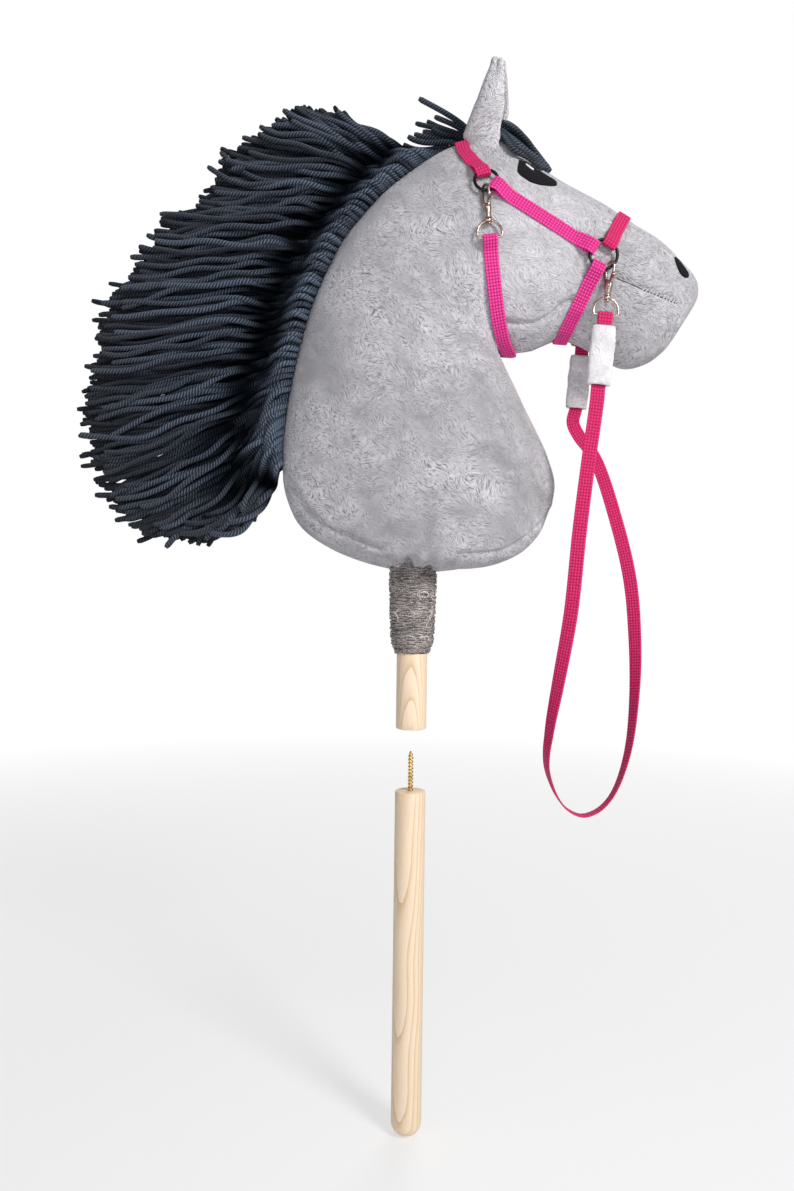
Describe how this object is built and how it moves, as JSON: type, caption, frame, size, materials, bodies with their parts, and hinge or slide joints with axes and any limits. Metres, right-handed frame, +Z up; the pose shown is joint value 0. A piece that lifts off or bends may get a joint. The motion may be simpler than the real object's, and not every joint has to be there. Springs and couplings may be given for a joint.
{
  "type": "hobby horse",
  "caption": "Stuffed horse head with yarn mane, webbing halter and clip-on reins on a two-piece wooden stick that screws together.",
  "frame": {"origin": "middle of the upper stick's lower end face, where the lower stick screws in", "axes": "+Z up along the stick towards the head, +X the way the horse faces, +Y to the horse's left side"},
  "size_m": [0.555, 0.1192, 0.9741],
  "materials": {
    "pine": "sanded, uncoated",
    "screw_brass": "bright plated",
    "glue": "cured glue",
    "plush": "short-pile fleece",
    "stuffing": "loose fibre filling",
    "twine": "twisted twine",
    "yarn": "soft twisted yarn",
    "felt_black": "felt",
    "felt_white": "felt",
    "thread": "sewing thread",
    "webbing": "woven webbing",
    "ring_black": "black oxide wire",
    "snap_nickel": "light gold nickel plate",
    "sleeve_white": "white fleece"
  },
  "bodies": {
    "head": {"upper_stick": "pine", "neck_sleeve": "plush", "neck_binding": "twine", "neck_stuffing": "stuffing", "head_stuffing": "stuffing", "side_panel_right": "plush", "side_panel_left": "plush", "base_gusset": "plush", "ear_right": "plush", "ear_left": "plush", "eye_right": "felt_black", "eye_left": "felt_black", "eye_glint_right": "felt_white", "eye_glint_left": "felt_white", "nostril_right": "felt_black", "nostril_left": "felt_black", "mouth_stitch_right": "thread", "mouth_stitch_left": "thread", "mane_band": "yarn", "mane": "yarn", "forelock": "yarn", "crown_strap": "webbing", "cheek_strap_right": "webbing", "cheek_strap_left": "webbing", "nose_strap": "webbing", "chin_strap": "webbing", "throat_strap": "webbing", "throat_dee_right": "snap_nickel", "throat_dee_left": "snap_nickel"},
    "screw_carrier": {"screw_glue": "glue"},
    "lower_half": {"lower_stick": "pine", "stick_screw": "screw_brass"},
    "upper_ring_right": {"upper_ring_right": "ring_black"},
    "upper_ring_left": {"upper_ring_left": "ring_black"},
    "lower_ring_right": {"lower_ring_right": "ring_black"},
    "lower_ring_left": {"lower_ring_left": "ring_black"},
    "throat_hook_right": {"throat_hook_right": "snap_nickel"},
    "throat_hook_left": {"throat_hook_left": "snap_nickel"},
    "throat_gate_right": {"throat_gate_right": "snap_nickel"},
    "throat_gate_left": {"throat_gate_left": "snap_nickel"},
    "reins": {"rein_strap": "webbing", "rein_sleeve_right": "sleeve_white", "rein_sleeve_left": "sleeve_white", "rein_dee_right": "snap_nickel", "rein_dee_left": "snap_nickel"},
    "rein_hook_right": {"rein_hook_right": "snap_nickel"},
    "rein_hook_left": {"rein_hook_left": "snap_nickel"},
    "rein_gate_right": {"rein_gate_right": "snap_nickel"},
    "rein_gate_left": {"rein_gate_left": "snap_nickel"}
  },
  "joints": [
    {"name": "stick_travel", "type": "slide", "parent": "head", "child": "screw_carrier", "axis": [0, 0, 1], "range_m": [0, 0.0567]},
    {"name": "stick_turn", "type": "hinge", "parent": "screw_carrier", "child": "lower_half", "pos_m": [0, 0, -0.057], "axis": [0, 0, 1], "range_deg": [0, 6375]},
    {"name": "upper_ring_right_turn", "type": "hinge", "parent": "head", "child": "upper_ring_right", "pos_m": [0.05783, -0.0491, 0.48108], "axis": [-0.0379, -0.971, 0.2358], "continuous": true},
    {"name": "upper_ring_left_turn", "type": "hinge", "parent": "head", "child": "upper_ring_left", "pos_m": [0.05783, 0.0491, 0.48108], "axis": [-0.0379, 0.971, 0.2358], "continuous": true},
    {"name": "lower_ring_right_turn", "type": "hinge", "parent": "head", "child": "lower_ring_right", "pos_m": [0.16046, -0.04591, 0.41986], "axis": [0.0994, -0.9946, -0.0314], "continuous": true},
    {"name": "lower_ring_left_turn", "type": "hinge", "parent": "head", "child": "lower_ring_left", "pos_m": [0.16046, 0.04591, 0.41986], "axis": [0.0994, 0.9946, -0.0314], "continuous": true},
    {"name": "throat_hook_right_swivel", "type": "hinge", "parent": "head", "child": "throat_hook_right", "pos_m": [0.05682, -0.05146, 0.47121], "axis": [-0.1052, 0.0584, 0.9927], "range_deg": [-12, 0]},
    {"name": "throat_hook_left_swivel", "type": "hinge", "parent": "head", "child": "throat_hook_left", "pos_m": [0.05682, 0.05146, 0.47121], "axis": [-0.1052, -0.0584, 0.9927], "range_deg": [0, 12]},
    {"name": "throat_gate_right_open", "type": "hinge", "parent": "throat_hook_right", "child": "throat_gate_right", "pos_m": [0.05955, -0.0539, 0.45503], "axis": [-0.8254, -0.5619, -0.0544], "range_deg": [0, 25], "stiffness_Nm_per_rad": 0.02, "springref_deg": -11.46},
    {"name": "throat_gate_left_open", "type": "hinge", "parent": "throat_hook_left", "child": "throat_gate_left", "pos_m": [0.05955, 0.0539, 0.45503], "axis": [0.8254, -0.5619, 0.0544], "range_deg": [0, 25], "stiffness_Nm_per_rad": 0.02, "springref_deg": -11.46},
    {"name": "reins_swing", "type": "hinge", "parent": "head", "child": "reins", "pos_m": [0.16658, 0, 0.40912], "axis": [0, -1, 0], "range_deg": [-3, 34]},
    {"name": "rein_hook_right_swivel", "type": "hinge", "parent": "reins", "child": "rein_hook_right", "pos_m": [0.16658, -0.04496, 0.40912], "axis": [0.0872, 0, 0.9962], "range_deg": [-2, 4]},
    {"name": "rein_hook_left_swivel", "type": "hinge", "parent": "reins", "child": "rein_hook_left", "pos_m": [0.16658, 0.04496, 0.40912], "axis": [0.0872, 0, 0.9962], "range_deg": [-4, 2]},
    {"name": "rein_gate_right_open", "type": "hinge", "parent": "rein_hook_right", "child": "rein_gate_right", "pos_m": [0.16617, -0.04644, 0.39259], "axis": [-0.816, -0.5736, 0.0714], "range_deg": [0, 25], "stiffness_Nm_per_rad": 0.02, "springref_deg": -11.46},
    {"name": "rein_gate_left_open", "type": "hinge", "parent": "rein_hook_left", "child": "rein_gate_left", "pos_m": [0.16617, 0.04644, 0.39259], "axis": [0.816, -0.5736, -0.0714], "range_deg": [0, 25], "stiffness_Nm_per_rad": 0.02, "springref_deg": -11.46}
  ],
  "couplings": [
    {"joint": "stick_travel", "follows": "stick_turn", "m_per_rad": 0.0005093}
  ]
}
